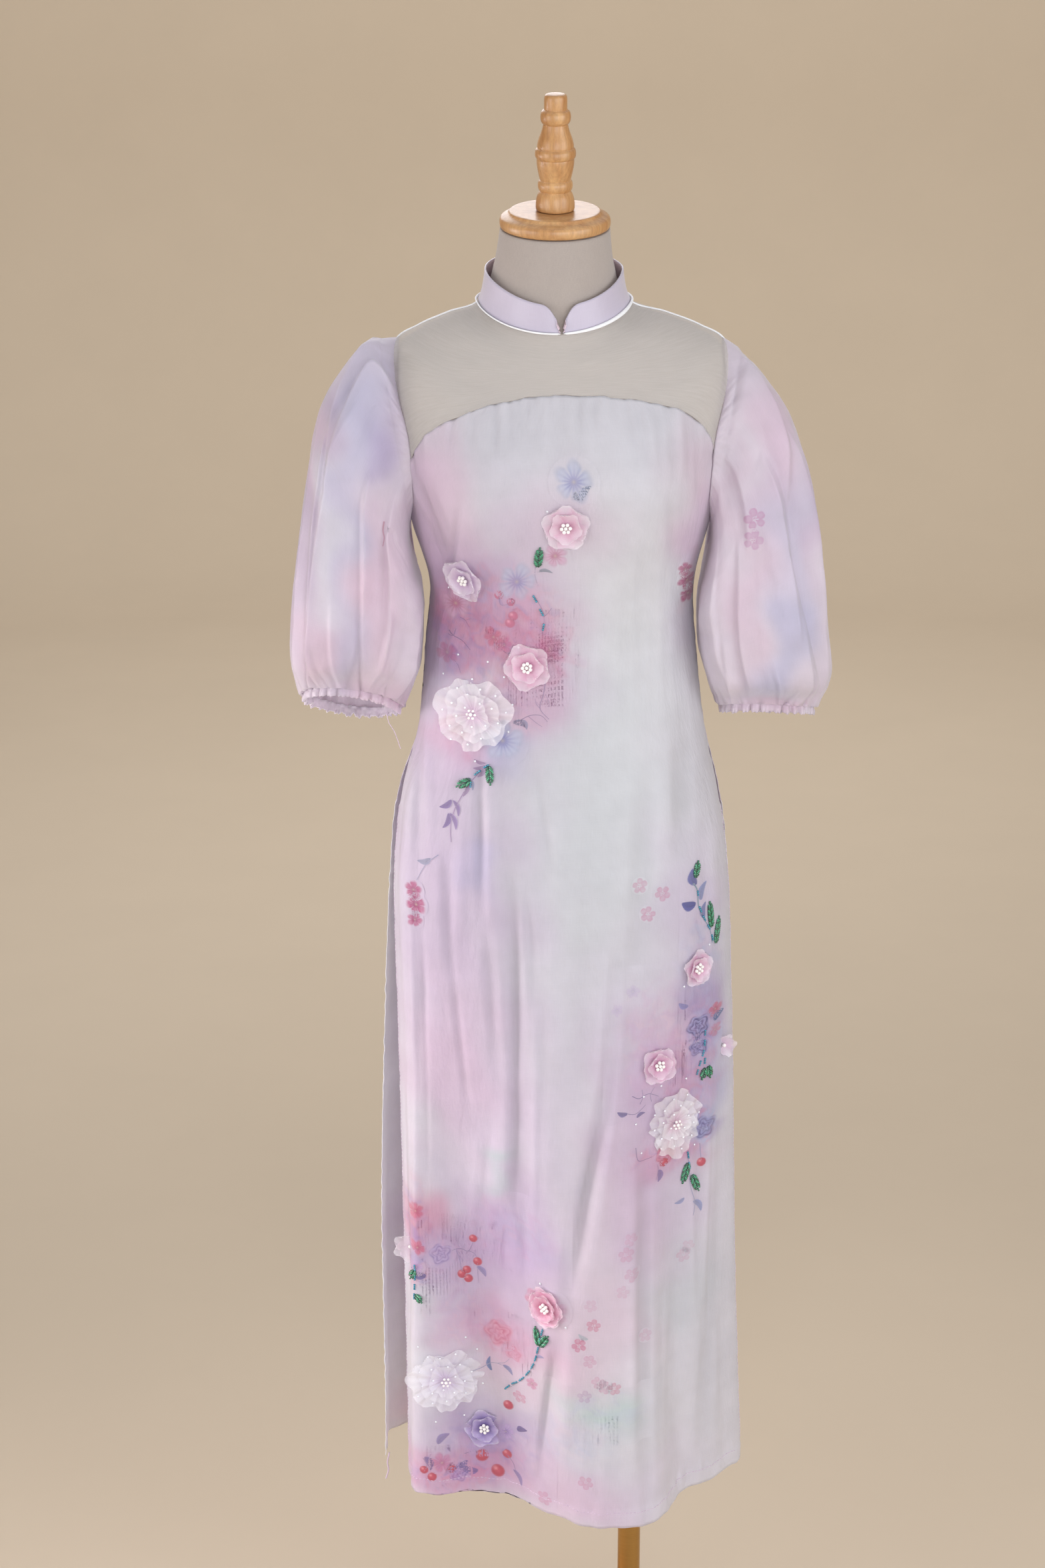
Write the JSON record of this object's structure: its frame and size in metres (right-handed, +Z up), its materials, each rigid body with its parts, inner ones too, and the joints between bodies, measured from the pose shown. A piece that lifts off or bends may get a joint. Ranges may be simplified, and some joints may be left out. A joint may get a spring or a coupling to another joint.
{
  "type": "ao dai tunic on a limbless dress form",
  "caption": "Long tunic with sheer yoke, stand collar, short puff sleeves, side slits and organza flowers, on a limbless dress form with a turned cap, a pole and a round base",
  "frame": {"origin": "on the floor, at the centre of the base and of the whole width", "axes": "+Z up, -Y the way the tunic's front faces, +X the wearer's left"},
  "size_m": [0.5422, 0.36, 1.7219],
  "materials": {
    "collar_satin": "satin",
    "white_binding": "satin",
    "yoke_net": "matte",
    "printed_silk": "satin",
    "sleeve_silk": "satin",
    "organza": "satin",
    "form_jersey": "matte",
    "turned_wood": "satin",
    "gold_metal": "brushed"
  },
  "bodies": {
    "root": {"collar": "collar_satin", "neck_binding": "white_binding", "yoke_front": "yoke_net", "yoke_back": "yoke_net", "front_panel": "printed_silk", "back_panel": "printed_silk", "sleeve_left": "sleeve_silk", "sleeve_right": "sleeve_silk", "cuff_left": "sleeve_silk", "cuff_right": "sleeve_silk", "flower_bust": "organza", "flower_underbust": "organza", "flower_waist": "organza", "flower_thigh_upper": "organza", "flower_thigh_lower": "organza", "flower_hem_peony": "organza", "flower_hem_violet": "organza", "rosette_waist": "organza", "rosette_thigh": "organza", "rosette_hem": "organza", "form_torso": "form_jersey", "neck_cap": "turned_wood", "finial": "turned_wood", "base": "turned_wood", "pole": "gold_metal"}
  },
  "joints": []
}
